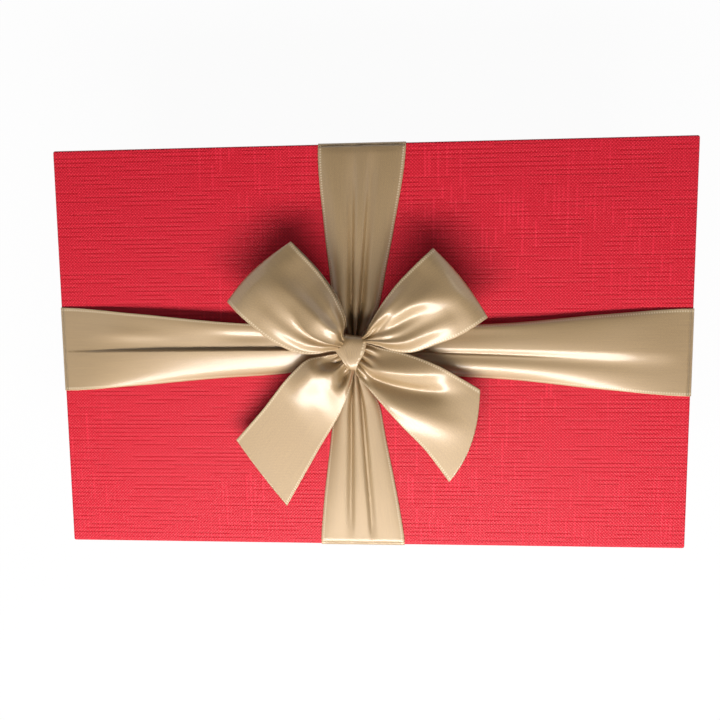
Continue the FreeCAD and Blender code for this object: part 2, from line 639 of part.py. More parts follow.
# Check and write
doc.recompute()
pieces = [
    lid_board, lid_stays, lid_wrap, lid_liner, base_board, base_stays, base_wrap, base_underside, base_wall_liner,
    base_floor_liner, long_band, short_band, end_tapes, tie, knot, left_loop, right_loop, left_tail, right_tail,
]
for item in doc.Objects:
    if "Invalid" in item.State or "Error" in item.State:
        raise RuntimeError(f"{item.Label} did not compute")
os.makedirs("parts", exist_ok=True)
for piece in pieces:
    if piece.Shape.isNull() or not piece.Shape.isValid():
        raise RuntimeError(f"{piece.Label} has no valid solid")
    piece.Shape.exportStep(f"parts/{piece.Label}.step")
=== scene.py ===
import math

import bpy
import numpy as np
from mathutils import Matrix, Vector


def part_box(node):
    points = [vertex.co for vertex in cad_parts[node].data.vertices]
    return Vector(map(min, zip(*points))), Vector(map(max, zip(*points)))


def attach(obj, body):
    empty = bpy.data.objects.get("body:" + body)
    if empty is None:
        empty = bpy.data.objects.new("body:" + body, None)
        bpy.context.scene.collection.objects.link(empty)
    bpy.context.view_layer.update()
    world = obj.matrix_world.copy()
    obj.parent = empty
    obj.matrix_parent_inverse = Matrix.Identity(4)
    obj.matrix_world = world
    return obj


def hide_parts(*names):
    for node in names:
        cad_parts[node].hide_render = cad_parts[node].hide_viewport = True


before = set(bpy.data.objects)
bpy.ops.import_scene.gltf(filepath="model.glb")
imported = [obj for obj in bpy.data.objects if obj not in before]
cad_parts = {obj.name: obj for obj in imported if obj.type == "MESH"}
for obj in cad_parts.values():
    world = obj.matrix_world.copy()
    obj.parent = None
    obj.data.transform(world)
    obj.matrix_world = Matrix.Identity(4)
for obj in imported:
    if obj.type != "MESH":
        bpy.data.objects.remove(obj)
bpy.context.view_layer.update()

# Sizes in millimetres; heights are above the lid's top face
MM = 0.001
LID_LOW, LID_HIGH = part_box("lid_wrap")
LID_TOP = LID_HIGH.z / MM
LID_HALF_LENGTH = LID_HIGH.x / MM
LID_HALF_WIDTH = LID_HIGH.y / MM
LID_RIM = LID_LOW.z / MM - LID_TOP
LID_EDGE_RADIUS = 1.2
LID_WALL_THICKNESS = 2.6
RIBBON_WIDTH = 38
RIBBON_THICKNESS = 0.35
RIBBON_CLEARANCE = 0.3
TAPE_ROOM = 0.12
TAB_LENGTH = 16
KNOT_PLACE = (-6.0, 0.0)
LOOP_REACH = 55

# Weaves and stitches, in metres
LINEN_PITCH = 0.0019
LINEN_DOTS = 0.0014
TWILL_PITCH = 0.00085
STITCH_PITCH = 0.0011
STITCH_LINE = 0.0011
SELVEDGE_START, SELVEDGE_END = 0.0009, 0.0016

# Camera of the photograph, solved from the lid's four corners; its roll is in degrees
CAMERA_PLACE = (17.7, 27.91, 309.54)
CAMERA_TARGET = (-3.74, -4.59, 0)
CAMERA_ROLL = -0.64
LENS = 35
SENSOR = 36
NEAR_CLIP = 0.01

# Studio, in metres and watts: the room is palest in front, and the main lamp hangs there
FRONT_WALL_LIGHT = (0.28, 0.28, 0.28)
BACK_WALL_LIGHT = (0.10, 0.10, 0.10)
CEILING_LIGHT = (0.11, 0.11, 0.115)
FLOOR_COLOUR = (0.82, 0.82, 0.82)
FLOOR_SHOWN_WHITE = 0.96
FLOOR_FLAT_RADIUS = 1.5
FLOOR_RADIUS = 3.2
FLOOR_RISE = 1.3
LAMP_TARGET = (0, 0, 0.08)
# A lamp is its name, place, width, height, power and colour
LAMPS = (
    ("key_light", (0.0, -0.46, 0.57), 0.80, 0.18, 7.6, (1.0, 0.99, 0.985)),
    ("side_fill", (-0.75, 0.10, 0.70), 0.6, 0.6, 0.5, (0.92, 0.95, 1.0)),
    ("rim_light", (0.55, 0.36, 0.48), 0.22, 0.22, 0.3, (1.0, 1.0, 1.0)),
)


# Shader sockets and finishes
def both_ways(operation):
    """An operator that adds a Math node, and its reflected form for a number on the left."""
    def forward(wire, other):
        return wire.maths(operation, wire, other)

    def reflected(wire, other):
        return wire.maths(operation, other, wire)

    return forward, reflected


class Wire:
    """A shader socket that takes Python's operators; each one adds a Math node."""

    __add__, __radd__ = both_ways("ADD")
    __sub__, __rsub__ = both_ways("SUBTRACT")
    __mul__, __rmul__ = both_ways("MULTIPLY")
    __truediv__, __rtruediv__ = both_ways("DIVIDE")
    __pow__, __rpow__ = both_ways("POWER")

    def __init__(self, nodes, socket):
        self.nodes = nodes
        self.socket = socket

    def maths(self, operation, *values):
        return self.nodes.node("Math", {"operation": operation}, dict(enumerate(values)))

    def size(self):
        return self.maths("ABSOLUTE", self)

    def floor(self):
        return self.maths("FLOOR", self)

    def over(self, limit):
        return self.maths("GREATER_THAN", self, limit)

    def wave(self, pitch, shift=0.0):
        """A sine of the value, from 0 to 1, with this pitch in the value's own units."""
        return self.maths("SINE", self * (2 * math.pi / pitch) + shift) * 0.5 + 0.5

    def step(self, low, high):
        """Rises smoothly from 0 at low to 1 at high."""
        return self.nodes.node("MapRange", {"interpolation_type": "SMOOTHSTEP"},
                               {"Value": self, "From Min": low, "From Max": high})


class Nodes:
    """A node tree that expressions add nodes to."""

    def __init__(self, tree):
        self.tree = tree
        tree.nodes.clear()

    def put(self, socket, value):
        """Links a wire to a socket, or sets a number or a colour on it."""
        if isinstance(value, Wire):
            self.tree.links.new(value.socket, socket)
        elif isinstance(value, tuple):
            socket.default_value = (*value, 1)
        else:
            socket.default_value = value

    def node(self, kind, settings=None, sockets=None, output=0):
        """Any node: its settings first, then the values or links of its sockets. Gives one output as a
        wire, or for a tuple of outputs a list of wires."""
        node = self.tree.nodes.new("ShaderNode" + kind)
        for name, value in (settings or {}).items():
            setattr(node, name, value)
        for name, value in (sockets or {}).items():
            self.put(node.inputs[name], value)
        if isinstance(output, tuple):
            return [Wire(self, node.outputs[name]) for name in output]
        return Wire(self, node.outputs[output])

    def place(self, output):
        return self.node("TexCoord", output=output)

    def split(self, vector):
        return self.node("SeparateXYZ", None, {"Vector": vector}, ("X", "Y", "Z"))

    def join(self, x, y, z=0.0):
        return self.node("CombineXYZ", None, {"X": x, "Y": y, "Z": z})

    def noise(self, vector, scale=1.0, detail=2.0, roughness=0.5):
        return self.node("TexNoise", None, {"Vector": vector, "Scale": scale, "Detail": detail,
                                            "Roughness": roughness})

    def streaks(self, along, across, rates, shift=0.0, detail=2.0):
        """Noise that changes at one rate along and at another across; shift moves it to a fresh pattern."""
        return self.noise(self.join(along * rates[0], across * rates[1], shift), detail=detail)

    def blend(self, share, first, second):
        """Mixes two colours by a share from 0 to 1."""
        return self.node("Mix", {"data_type": "RGBA"}, {0: share, 6: first, 7: second}, 2)

    def bump(self, height, strength, distance):
        return self.node("Bump", None, {"Height": height, "Strength": strength, "Distance": distance})


class Finish(Nodes):
    """A procedural material."""

    def __init__(self, name):
        self.material = bpy.data.materials.new(name)
        self.material.use_nodes = True
        super().__init__(self.material.node_tree)

    def end(self, shader):
        """Leads a shader to the material's surface."""
        self.node("OutputMaterial", None, {"Surface": shader}, ())
        return self.material

    def set(self, **sockets):
        """Ends with a Principled shader; an underscore in a socket's name stands for a space."""
        named = {name.replace("_", " "): value for name, value in sockets.items()}
        return self.end(self.node("BsdfPrincipled", None, named))


def paper_plane(finish, wall_facing=0.7):
    """Two coordinates that follow a sheet folded over a box: down a wall, height takes the place of x or
    y. A face is on a wall where its normal points sideways by more than wall_facing."""
    x, y, z = finish.split(finish.place("Object"))
    normal_x, normal_y, _ = finish.split(finish.place("Normal"))
    on_end = normal_x.size().over(wall_facing)
    on_side = normal_y.size().over(wall_facing)
    return x * (1 - on_end) + z * on_end, y * (1 - on_side) + z * on_side


def linen_paper(name="embossed_linen_paper"):
    """Red paper embossed as linen: dots where two slanting waves cross, grooves between the rows that come
    and go, and raised threads along the columns that come and go. Its colour is painted darker in the
    grooves and paler on the raised dots and threads: painted shade and painted highlight of the emboss, on
    top of its bump."""
    groove_shade_red, emboss_highlight_red, dull_red = (0.47, 0.003, 0.012), (0.87, 0.028, 0.060), (0.63, 0.006, 0.019)
    thread_rate, thread_apart = 55, 5.7
    finish = Finish(name)
    along, across = paper_plane(finish)
    row = (across / LINEN_PITCH).floor()
    column = (along / LINEN_PITCH).floor()
    clouds = finish.streaks(along, across, (14, 14), shift=5.0, detail=3.0)
    row_change = finish.streaks(along, row, (thread_rate, thread_apart), detail=0.0)
    column_change = finish.streaks(column, across, (thread_apart, thread_rate), shift=9.0, detail=0.0)
    deep_row = row_change.step(0.47, 0.54)
    high_column = column_change.step(0.56, 0.62) * clouds.step(0.4, 0.65)
    dots = (along + across).wave(LINEN_DOTS) * (along - across).wave(LINEN_DOTS)
    groove_shape = across.wave(LINEN_PITCH) ** 3.0 - across.wave(LINEN_PITCH, 2.2) * 0.35
    groove = groove_shape * (0.1 + deep_row * 0.4)
    thread = along.wave(LINEN_PITCH) * (0.1 + high_column * 0.45)
    raised = 0.4 + dots * 0.8 - groove + thread
    # Painted shade and highlight: the colour runs from dark red in the grooves to pale red on the raised
    # dots and threads
    colour = finish.blend(raised.step(0.0, 1.5), groove_shade_red, emboss_highlight_red)
    colour = finish.blend(clouds.step(0.3, 0.75) * 0.2, colour, dull_red)
    return finish.set(Base_Color=colour, Roughness=0.54 - raised.step(0.0, 1.6) * 0.12,
                      Normal=finish.bump(raised, 0.8, 0.00018), Specular_IOR_Level=0.3)


def satin(name="champagne_satin_ribbon"):
    """Champagne satin: fine lengthwise floats, a faint twill, and a woven selvedge with a row of
    stitches."""
    brown, champagne, shaded = (0.215, 0.126, 0.050), (0.56, 0.365, 0.145), (0.43, 0.29, 0.15)
    selvedge_colour, stitch_colour = (0.54, 0.385, 0.215), (0.80, 0.68, 0.46)
    half_width = RIBBON_WIDTH * MM / 2
    finish = Finish(name)
    along, across, _ = finish.split(finish.place("UV"))
    edge = half_width - (across - half_width).size()
    floats = finish.streaks(along, across, (60, 2600))
    shade = finish.streaks(along, across, (25, 40), shift=2.0)
    twill = (along + across * 0.8).wave(TWILL_PITCH)
    grain = finish.streaks(along, across, (1500, 2300), shift=4.0, detail=1.0)
    selvedge = 1 - edge.step(SELVEDGE_START, SELVEDGE_END)
    stitch_row = 1 - (edge - STITCH_LINE).size().step(0.0001, 0.0006)
    stitch = stitch_row * along.wave(STITCH_PITCH).step(0.25, 0.75)
    yarn = floats * 0.33 + twill * 0.12 + grain * 0.55
    colour = finish.blend(yarn, brown, champagne)
    colour = finish.blend(shade.step(0.35, 0.7) * 0.2, colour, shaded)
    colour = finish.blend(selvedge * 0.4, colour, selvedge_colour)
    colour = finish.blend(stitch * 0.6, colour, stitch_colour)
    relief = yarn * 0.25 + stitch * 0.9 + selvedge * 0.3
    return finish.set(Base_Color=colour, Roughness=0.54 + selvedge * 0.1 + shade * 0.06, Metallic=0.3,
                      IOR=2.3, Normal=finish.bump(relief, 0.3, 0.00006), Coat_Weight=0.6 - selvedge * 0.4,
                      Coat_Roughness=0.2, Coat_IOR=1.6)


def grey_board(name="recycled_greyboard"):
    """Recycled greyboard: grey-brown pulp with darker and paler flecks."""
    dark_pulp, pale_pulp = (0.22, 0.19, 0.16), (0.36, 0.32, 0.27)
    pale_fleck, dark_fleck = (0.55, 0.51, 0.45), (0.10, 0.085, 0.07)
    finish = Finish(name)
    point = finish.place("Object")
    pulp = finish.noise(point, 180.0, 4.0, 0.65)
    flecks = finish.noise(point, 900.0, 1.0)
    colour = finish.blend(pulp, dark_pulp, pale_pulp)
    colour = finish.blend(flecks.step(0.64, 0.72), colour, pale_fleck)
    colour = finish.blend(1 - flecks.step(0.28, 0.36), colour, dark_fleck)
    return finish.set(Base_Color=colour, Roughness=0.86 + pulp * 0.1,
                      Normal=finish.bump(pulp + flecks * 0.4, 0.3, 0.0003))


def kraft_tape(name="gummed_kraft_tape"):
    """Gummed kraft tape: brown paper with fine lengthwise fibres."""
    dark_fibre, pale_fibre = (0.30, 0.17, 0.075), (0.47, 0.30, 0.15)
    finish = Finish(name)
    x, y, z = finish.split(finish.place("Object"))
    fibres = finish.noise(finish.join(x * 900, y * 900, z * 60), detail=3.0)
    colour = finish.blend(fibres, dark_fibre, pale_fibre)
    return finish.set(Base_Color=colour, Roughness=0.62 + fibres * 0.2,
                      Normal=finish.bump(fibres, 0.25, 0.0001))


def liner_paper(name="white_liner_paper"):
    """Uncoated white lining paper: faint cloudy formation and short fibres."""
    dull_white, clear_white, fibre_colour = (0.79, 0.775, 0.74), (0.82, 0.805, 0.77), (0.68, 0.65, 0.60)
    finish = Finish(name)
    point = finish.place("Object")
    clouds = finish.noise(point, 60.0, 4.0, 0.6)
    fibres = finish.noise(point, 1400.0)
    colour = finish.blend(clouds.step(0.3, 0.7), dull_white, clear_white)
    colour = finish.blend(fibres.step(0.62, 0.72) * 0.4, colour, fibre_colour)
    return finish.set(Base_Color=colour, Roughness=0.78 + clouds * 0.12,
                      Normal=finish.bump(fibres, 0.2, 0.00008))


def sticky_tape(name="double_sided_tape"):
    """Double-sided tape: milky adhesive with small air marks."""
    adhesive, air_mark = (0.74, 0.71, 0.60), (0.84, 0.82, 0.74)
    finish = Finish(name)
    marks = finish.noise(finish.place("Object"), 500.0)
    colour = finish.blend(marks.step(0.55, 0.7), adhesive, air_mark)
    return finish.set(Base_Color=colour, Roughness=0.32 + marks * 0.2,
                      Normal=finish.bump(marks, 0.2, 0.0001))


# Curves and folds
def cubic_pieces(place, at, number, slope):
    """A curve through numbers at stations, with a slope at each: between two stations it is the cubic
    that meets both numbers and both slopes."""
    piece = np.clip(np.searchsorted(at, place, side="right") - 1, 0, len(at) - 2)
    width = at[piece + 1] - at[piece]
    way = np.clip((place - at[piece]) / width, 0, 1)
    if number.ndim > 1:
        width, way = width[..., None], way[..., None]
    return ((1 + 2 * way) * (1 - way) ** 2 * number[piece] + way * (1 - way) ** 2 * slope[piece] * width
            + way ** 2 * (3 - 2 * way) * number[piece + 1] + way ** 2 * (way - 1) * slope[piece + 1] * width)


def smooth_through(points, share):
    """A smooth curve through a few points, with the slope at each point taken from its neighbours. share
    runs from 0 at the first point to 1 at the last, in step with the straight distance between points."""
    points = np.asarray(points, float)
    chord = np.linalg.norm(np.diff(points, axis=0), axis=1)
    place = np.concatenate(([0.0], np.cumsum(chord))) / chord.sum()
    return cubic_pieces(share, place, points, np.gradient(points, place, axis=0))


def value_at(stations, place):
    """A number that goes smoothly through (place, number) stations and never past them: the slope at a
    station is the harmonic mean of the slopes beside it, or 0 at a turn and at both ends."""
    at, number = np.asarray(stations, float).T
    rise = np.diff(number) / np.diff(at)
    same = rise[1:] * rise[:-1] > 0
    slope = np.zeros(len(at))
    slope[1:-1] = np.where(same, 2 * rise[1:] * rise[:-1] / np.where(same, rise[1:] + rise[:-1], 1), 0)
    return cubic_pieces(place, at, number, slope)


def ridge(across, centre, low_width, high_width):
    """A rounded fold line across the ribbon: 1 at its centre, a bell with its own width on each side."""
    off = across - centre
    return np.exp(-np.square(off / np.where(off < 0, low_width, high_width)))


def folds_height(folds, along, across):
    """The height of several folds, added up. A fold is its place across at the start and at the far end,
    its (along, height) stations, and its widths towards the low and the high edge."""
    total = np.zeros(np.broadcast(along, across).shape)
    for start, far, heights, low_width, high_width in folds:
        centre = start + (far - start) * along
        total = total + value_at(heights, along) * ridge(across, centre, low_width, high_width)
    return total


def steps_height(steps, along, across):
    """The height of folds that lift all the cloth past a line: half a tanh rise each. A step is its place
    across at the start and at the far end, its (along, height) stations, and the width of its rise."""
    total = np.zeros(np.broadcast(along, across).shape)
    for start, far, heights, width in steps:
        off = across - start - (far - start) * along
        total = total + value_at(heights, along) * (1 + np.tanh(off / width)) / 2
    return total


def tuck_lean(steps, lean, along, across):
    """How far a step's upper lip leans over its foot, as a share of the width: a bell centred two rise
    widths past the step's line, and two and a half wide."""
    total = np.zeros(np.broadcast(along, across).shape)
    for start, far, heights, width in steps:
        off = across - start - (far - start) * along
        total = total - lean * value_at(heights, along) * ridge(off, 2 * width, 2.5 * width, 2.5 * width)
    return total


def gathers(stations, along, across, count=4.5, shift=0.1):
    """Small even gathers: a cosine across the ribbon, with (along, height) stations for its height."""
    return value_at(stations, along) * np.cos(2 * math.pi * (count * across + shift))


def three_lines(low, middle, high, across):
    """A value across the ribbon from its values on the low edge, the middle and the high edge: a
    parabola."""
    return (low * (1 - across) * (1 - 2 * across) + middle * 4 * across * (1 - across)
            + high * across * (2 * across - 1))


def arch(across, height):
    """A parabola across the ribbon, with a height in the middle and 0 at both edges."""
    return height * 4 * across * (1 - across)


def distance_along(line):
    """The distance from the first point of a line to each of its points."""
    return np.concatenate([[0], np.cumsum(np.linalg.norm(np.diff(line, axis=0), axis=1))])


def pair_grid(first, second):
    """Two arrays, spread to one grid and paired."""
    return np.stack(np.broadcast_arrays(first, second), axis=-1)


# Meshes
def make_mesh(name, points, flat, material, wrap=False, flip=False):
    """Turns a grid of points (rows, columns, 3) in millimetres above the lid into a mesh with its ribbon
    map. flat is the grid of places on the flat ribbon, in millimetres; wrap joins the last row to the
    first."""
    rows, columns = points.shape[:2]
    vertices = (points + (0, 0, LID_TOP)).reshape(-1, 3) * MM
    used = rows if wrap else rows - 1
    row, column = np.meshgrid(np.arange(used), np.arange(columns - 1), indexing="ij")
    corner_row = np.stack([row, row + 1, row + 1, row], axis=-1).reshape(-1, 4)
    corner_column = np.stack([column, column, column + 1, column + 1], axis=-1).reshape(-1, 4)
    if flip:
        corner_row, corner_column = corner_row[:, ::-1], corner_column[:, ::-1]
    faces = (corner_row % rows) * columns + corner_column
    mesh = bpy.data.meshes.new(name)
    mesh.from_pydata(vertices, [], faces)
    chart = mesh.uv_layers.new(name="ribbon_map")
    chart.data.foreach_set("uv", (flat[corner_row, corner_column] * MM).astype(np.float32).ravel())
    mesh.polygons.foreach_set("use_smooth", np.ones(len(faces), bool))
    mesh.materials.append(material)
    piece = bpy.data.objects.new(name, mesh)
    bpy.context.collection.objects.link(piece)
    return piece


def ribbon_piece(node, points, flat, wrap=False, flip=False):
    """A satin piece for a CAD node: its surface with its ribbon map, the ribbon's thickness and its body;
    the node's own part is hidden."""
    piece = make_mesh("satin_" + node, points, flat, SATIN, wrap, flip)
    wall = piece.modifiers.new("ribbon_thickness", "SOLIDIFY")
    wall.thickness = RIBBON_THICKNESS * MM
    wall.offset = 0
    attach(piece, "lid")
    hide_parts(node)


# Ribbon bands over the lid
# Power that brings a band's rows closer together near the knot
ROW_POWER = 1.35
# Power of the distance from a band's middle by which its edges roll down to the paper
ROLL_POWER = 7


def bend(centre, radii, start, stop, count):
    """Part of a turn round a centre, between two angles in degrees: distance out and up, each with its
    own radius, and the outward direction there."""
    angle = np.radians(np.linspace(start, stop, count))
    direction = np.stack([np.cos(angle), np.sin(angle)], 1)
    return np.concatenate([centre + direction * radii, direction], 1)


def upright(out, start, stop, facing, count):
    """A straight line on a wall between two heights: distance out and up, and the direction that the wall
    faces."""
    up = np.linspace(start, stop, count)
    return np.stack([np.full(count, out), up, np.full(count, facing), np.zeros(count)], 1)


def turned_end(half, count=26):
    """The line that a ribbon end follows past the lid's edge: over it, down the wall, under the rim and
    up inside. Distances out and up, and the outward direction there."""
    gap = RIBBON_CLEARANCE
    tape_gap = gap + TAPE_ROOM
    inner = half - LID_WALL_THICKNESS
    edge_turn = LID_EDGE_RADIUS + gap
    after_turn = 1
    return np.concatenate([
        bend((half - LID_EDGE_RADIUS, -LID_EDGE_RADIUS), (edge_turn, edge_turn), 90, 0, count),
        upright(half + gap, -LID_EDGE_RADIUS - after_turn, LID_RIM + gap, 1.0, count),
        bend((half, LID_RIM), (gap, gap), 0, -90, count // 2),
        bend((inner, LID_RIM), (tape_gap, gap), -90, -180, count // 2),
        upright(inner - tape_gap, LID_RIM + after_turn, LID_RIM + TAB_LENGTH, -1.0, count // 2),
    ])


def half_band(outward, end_shift, half, widths, deck, lift, folds, steps=(), high_edge_kept=0.0,
              rows=150, columns=121):
    """Half of a ribbon over the lid. Out from the knot its width opens from station to station; the cloth
    stands on a low deck whose edges roll down to the paper, cut by folds that fan out and die away before
    the lid's edge; then it goes flat over the edge and inside the lid. The high edge can keep a share of
    its height, as an edge that is pulled clear of the paper."""
    outward = np.array(outward, float)
    side = np.array((abs(outward[1]), abs(outward[0])))
    knot = np.array(KNOT_PLACE)
    knot_out = knot @ outward
    knot_side = knot @ side
    reach = half - LID_EDGE_RADIUS - knot_out
    out = reach * np.linspace(0, 1, rows) ** ROW_POWER
    across = np.linspace(0, 1, columns)[None, :]
    share = (out / reach)[:, None]
    top = np.stack([out + knot_out, np.full(rows, RIBBON_CLEARANCE), np.zeros(rows), np.ones(rows)], 1)
    line = np.concatenate([top, turned_end(half)])
    past = len(line) - rows
    width = np.concatenate([value_at(widths, out), np.full(past, value_at(widths, np.array([reach]))[0])])
    centre = np.concatenate([knot_side + (end_shift - knot_side) * out / reach, np.full(past, end_shift)])
    roll = 1 - np.abs(2 * across - 1) ** ROLL_POWER * np.where(across > 0.5, 1 - high_edge_kept, 1)
    creases = folds_height(folds, share, across) + steps_height(steps, share, across)
    height = np.maximum(value_at(deck, out)[:, None] * roll + creases * roll ** 0.5, 0)
    height = np.concatenate([height + value_at(lift, out)[:, None], np.zeros((past, columns))])
    sideways = centre[:, None] + (across - 0.5) * width[:, None]
    plan = line[:, 0, None] + line[:, 2, None] * height
    points = np.empty((len(line), columns, 3))
    points[..., :2] = plan[..., None] * outward + sideways[..., None] * side
    points[..., 2] = line[:, 1, None] + line[:, 3, None] * height
    flat = pair_grid(distance_along(line[:, :2])[:, None], across * RIBBON_WIDTH)
    return points, flat


def whole_band(name, first, second, flip):
    """Two half bands, joined under the knot, as one ribbon."""
    points = np.concatenate([first[0][::-1], second[0][1:]])
    flat = np.concatenate([first[1][::-1] * (-1, 1), second[1][1:]])
    middle = len(first[0]) - 1
    points[middle] = (first[0][0] + second[0][0]) / 2
    ribbon_piece(name, points, flat, flip=flip)


# Bow: loops, tails and knot
# Lean of a tuck's lip for each millimetre of its height, as a share of the ribbon's width there
TUCK_LEAN = 0.06
# Height of the small gathers beside the knot, from the knot out
LOOP_GATHERS = [(0, 0.9), (0.12, 1.0), (0.3, 1.3), (0.6, 0.6), (0.9, 0)]
TAIL_GATHERS = [(0, 0.9), (0.1, 0.9), (0.26, 0)]
# Share of the gathers that a loop's upper layer loses
GATHERS_EASED = 0.7
# Share of a loop's folds along its run: whole on the upper layer, none past the bend
UPPER_LAYER = [(0, 1), (0.4, 1), (0.52, 0), (1, 0)]
# Power of the cosine and the sine that round a hoop's side view into an oblong
HOOP_POWER = 0.62
# The stretch of the flat ribbon's width that shows on a folded hoop
HOOP_SHOWS_FROM, HOOP_SHOWS = 26, 12


def heading_between(low_edge, high_edge):
    """The direction from the start of two edge curves to their far ends."""
    heading = np.asarray(low_edge[-1]) + high_edge[-1] - low_edge[0] - high_edge[0]
    return heading / np.linalg.norm(heading)


def loop_surface(low_edge, high_edge, low_line, middle_line, high_line, bulge, folds, steps=(),
                 rows=190, columns=91):
    """A loop of ribbon. In plan it lies between two edge curves from the knot to the far bend. Three side
    profiles, on the low edge, the middle and the high edge, each go out, round the bend and back beneath;
    a parabola joins them across. Folds are added on the upper layer and die away before the bend."""
    run = np.linspace(0, 1, rows)
    across = np.linspace(0, 1, columns)[None, :]
    true_size = (LOOP_REACH, 1)
    lines = [smooth_through(np.asarray(line, float) * true_size, run) / true_size
             for line in (low_line, middle_line, high_line)]
    reach = three_lines(*[line[:, 0, None] for line in lines], across)
    height = three_lines(*[line[:, 1, None] for line in lines], across)
    reach_in = np.clip(reach, 0, 1)
    low = smooth_through(low_edge, reach_in)
    high = smooth_through(high_edge, reach_in)
    upper = value_at(UPPER_LAYER, run)[:, None]
    plan = low + (high - low) * (across + upper * tuck_lean(steps, TUCK_LEAN, reach_in, across))[..., None]
    swell = arch(across, bulge) * reach_in ** 3 + (reach - reach_in) * LOOP_REACH
    points = np.empty((rows, columns, 3))
    points[..., :2] = plan + swell[..., None] * heading_between(low_edge, high_edge)
    shaped = folds_height(folds, reach_in, across) + steps_height(steps, reach_in, across)
    puckers = (1 - GATHERS_EASED * upper) * gathers(LOOP_GATHERS, reach_in, across)
    points[..., 2] = height + upper * shaped + puckers
    length = distance_along(points[:, columns // 2])
    flat = pair_grid(length[:, None], across * RIBBON_WIDTH)
    return points, flat, length[-1]


def tail_surface(low_edge, high_edge, low_line, middle_line, high_line, bulge, folds, rows=130, columns=91):
    """A tail of ribbon between two edge curves in plan, with three height profiles that a parabola joins
    across, folds that fan out from the knot, and a cut end that bulges a little."""
    run = np.linspace(0, 1, rows)
    across = np.linspace(0, 1, columns)[None, :]
    low = smooth_through(low_edge, run)[:, None]
    high = smooth_through(high_edge, run)[:, None]
    swell = arch(across, bulge) * run[:, None] ** 3
    lines = [value_at(line, run)[:, None] for line in (low_line, middle_line, high_line)]
    points = np.empty((rows, columns, 3))
    points[..., :2] = (low + (high - low) * across[..., None]
                       + swell[..., None] * heading_between(low_edge, high_edge))
    points[..., 2] = (three_lines(*lines, across) + folds_height(folds, run[:, None], across)
                      + gathers(TAIL_GATHERS, run[:, None], across))
    low_length = distance_along(points[:, 0])[:, None]
    high_length = distance_along(points[:, -1])[:, None]
    flat = pair_grid(low_length + (high_length - low_length) * across, across * RIBBON_WIDTH)
    return points, flat, (low_length[-1, 0] + high_length[-1, 0]) / 2


def rounded(wave):
    """A sine or a cosine raised to the hoop's power, with its sign kept."""
    return np.sign(wave) * np.abs(wave) ** HOOP_POWER


def hoop_surface(centre, heading, halves, widths, shifts, low, high, swell, folds, rows=140, columns=41):
    """A closed hoop of ribbon round what it ties. Seen from the side it is a rounded oblong, a power of
    the cosine by the same power of the sine of the turn angle; its width and sideways shift change from
    its back end (-1) to its front end (1), its top swells in the middle, and folds run along it. heading
    is in degrees."""
    turn = np.linspace(0, 2 * math.pi, rows, endpoint=False)[:, None]
    across = np.linspace(0, 1, columns)[None, :]
    angle = math.radians(heading)
    ahead = np.array((math.cos(angle), math.sin(angle)))
    side = np.array((-math.sin(angle), math.cos(angle)))
    lengthwise = rounded(np.cos(turn))
    upward = rounded(np.sin(turn))
    out = lengthwise * np.where(lengthwise > 0, halves[1], halves[0]) + 0 * across
    sideways = value_at(shifts, lengthwise) + (across - 0.5) * value_at(widths, lengthwise)
    raised = arch(across, swell) + folds_height(folds, 0.5 + 0 * turn, across)
    points = np.empty((rows, columns, 3))
    points[..., :2] = np.array(centre) + out[..., None] * ahead + sideways[..., None] * side
    points[..., 2] = (low + high) / 2 + upward * (high - low) / 2 + np.clip(upward, 0, 1) * raised
    ring = np.linalg.norm(np.diff(points[:, columns // 2], axis=0), axis=1).sum()
    flat = pair_grid(np.linspace(0, ring, rows + 1)[:, None], HOOP_SHOWS_FROM + across * HOOP_SHOWS)
    return points, flat, ring


SATIN = satin()
LINEN = linen_paper()

# Long band: across runs from the front edge to the back edge
left_half = half_band(
    outward=(-1, 0), end_shift=0.9, half=LID_HALF_LENGTH,
    widths=[(0, 8), (9, 9), (20, 17), (35, 22), (60, 25.5), (100, 33), (134, 38)],
    deck=[(0, 2.2), (12, 3.2), (30, 3.4), (60, 2.4), (100, 1.0), (134, 0.1)],
    lift=[(0, 3.4), (7, 3.0), (18, 0), (134, 0)],
    folds=[(0.52, 0.46, [(0, 0.8), (0.2, 2.3), (0.6, 2.2), (0.85, 1.2), (1, 0.15)], 0.34, 0.014),
           (1.0, 1.0, [(0, 0.6), (0.2, 2.0), (0.5, 2.6), (0.78, 1.6), (1, 0.1)], 0.42, 0.1),
           (0.78, 0.74, [(0.2, 0), (0.35, -0.5), (0.55, 0)], 0.10, 0.08),
           (0.72, 0.70, [(0.55, 0), (0.78, 0.5), (0.95, 0)], 0.08, 0.10)],
    high_edge_kept=0.9)
right_half = half_band(
    outward=(1, 0), end_shift=-2.0, half=LID_HALF_LENGTH,
    widths=[(0, 8), (9, 9), (20, 17), (35, 21), (69, 25), (110, 33), (146, 38)],
    deck=[(0, 2.2), (12, 3.2), (30, 3.4), (60, 2.6), (110, 1.0), (146, 0.1)],
    lift=[(0, 3.4), (7, 3.0), (18, 0), (146, 0)],
    folds=[(0.62, 0.50, [(0, 1.0), (0.2, 1.8), (0.5, 1.9), (0.75, 1.8), (0.92, 0.8), (1, 0.1)], 0.13, 0.28),
           (0.28, 0.24, [(0, 0.8), (0.2, 1.3), (0.6, 1.0), (1, 0.1)], 0.16, 0.15),
           (0.95, 0.93, [(0, 0.2), (0.2, 0.5), (0.5, 1.8), (0.8, 2.0), (1, 0.1)], 0.34, 0.08),
           (1.0, 1.0, [(0.05, 0), (0.2, 1.4), (0.4, 1.1), (0.7, 0)], 0.12, 0.1)],
    steps=[(0.49, 0.36, [(0, -0.8), (0.2, -1.2), (0.45, -0.6), (0.7, 0)], 0.016)], high_edge_kept=0.5)
whole_band("long_ribbon_band", left_half, right_half, flip=False)

